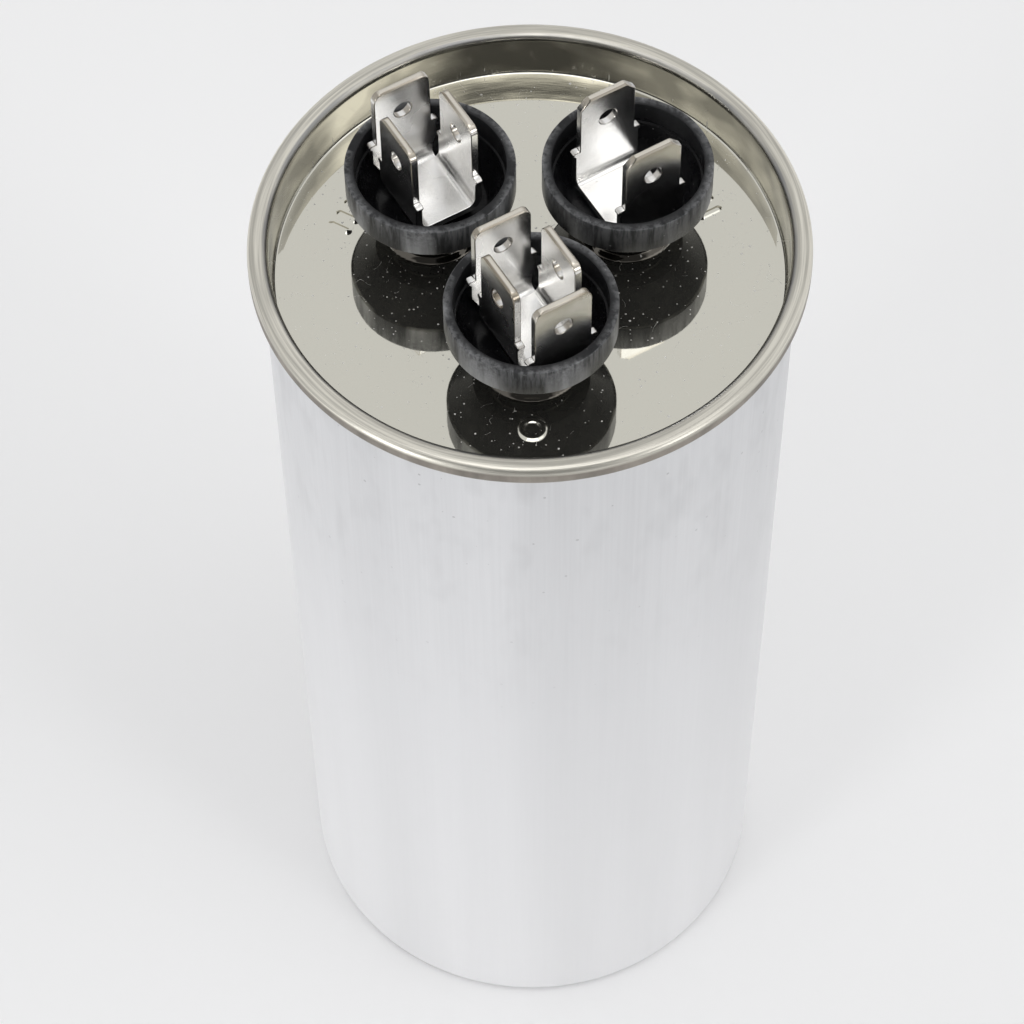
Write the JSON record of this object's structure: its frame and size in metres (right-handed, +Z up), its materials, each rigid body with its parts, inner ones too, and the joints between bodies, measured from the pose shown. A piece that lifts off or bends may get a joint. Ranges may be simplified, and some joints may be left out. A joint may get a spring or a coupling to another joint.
{
  "type": "dual motor run capacitor",
  "caption": "Round metal can closed by a rolled-in cover with three black insulator cups that carry groups of push-on tabs.",
  "frame": {"origin": "centre of the can's flat base", "axes": "+Z up along the can's axis and out through the tabs; -Y towards the cup with four tabs, +X to the right when that cup is seen in front"},
  "size_m": [0.0566, 0.0566, 0.1282],
  "materials": {
    "can_aluminium": "drawn, satin, with fine lines along the can and light scuffs",
    "cover_steel": "bright plated sheet, almost a mirror",
    "black_plastic": "moulded, satin, with light rub marks",
    "tab_plating": "bright tin plating over brass",
    "rivet_steel": "plated",
    "gasket_rubber": "matte",
    "washer_board": "pressed insulating board",
    "tag_brass": "plain",
    "tinned_copper": "tinned strip",
    "film": "wound metallised film",
    "zinc": "sprayed metal, rough",
    "wrap_film": "clear yellowish wrap",
    "white_plastic": "moulded"
  },
  "bodies": {
    "root": {"can": "can_aluminium", "cover": "cover_steel", "common_cup": "black_plastic", "herm_cup": "black_plastic", "fan_cup": "black_plastic", "common_lower_tabs": "tab_plating", "common_upper_tabs": "tab_plating", "herm_rear_tab": "tab_plating", "herm_side_tabs": "tab_plating", "fan_tabs": "tab_plating", "common_rivet": "rivet_steel", "herm_rivet": "rivet_steel", "fan_rivet": "rivet_steel", "common_gasket": "gasket_rubber", "herm_gasket": "gasket_rubber", "fan_gasket": "gasket_rubber", "common_washer": "washer_board", "herm_washer": "washer_board", "fan_washer": "washer_board", "common_tag": "tag_brass", "herm_tag": "tag_brass", "fan_tag": "tag_brass", "common_lead": "tinned_copper", "herm_lead": "tinned_copper", "fan_lead": "tinned_copper", "winding": "film", "core_tube": "white_plastic", "inner_contact": "zinc", "outer_contact": "zinc", "bottom_contact": "zinc", "winding_wrap": "wrap_film", "base_cup": "white_plastic", "spacer_ring": "white_plastic"}
  },
  "joints": []
}
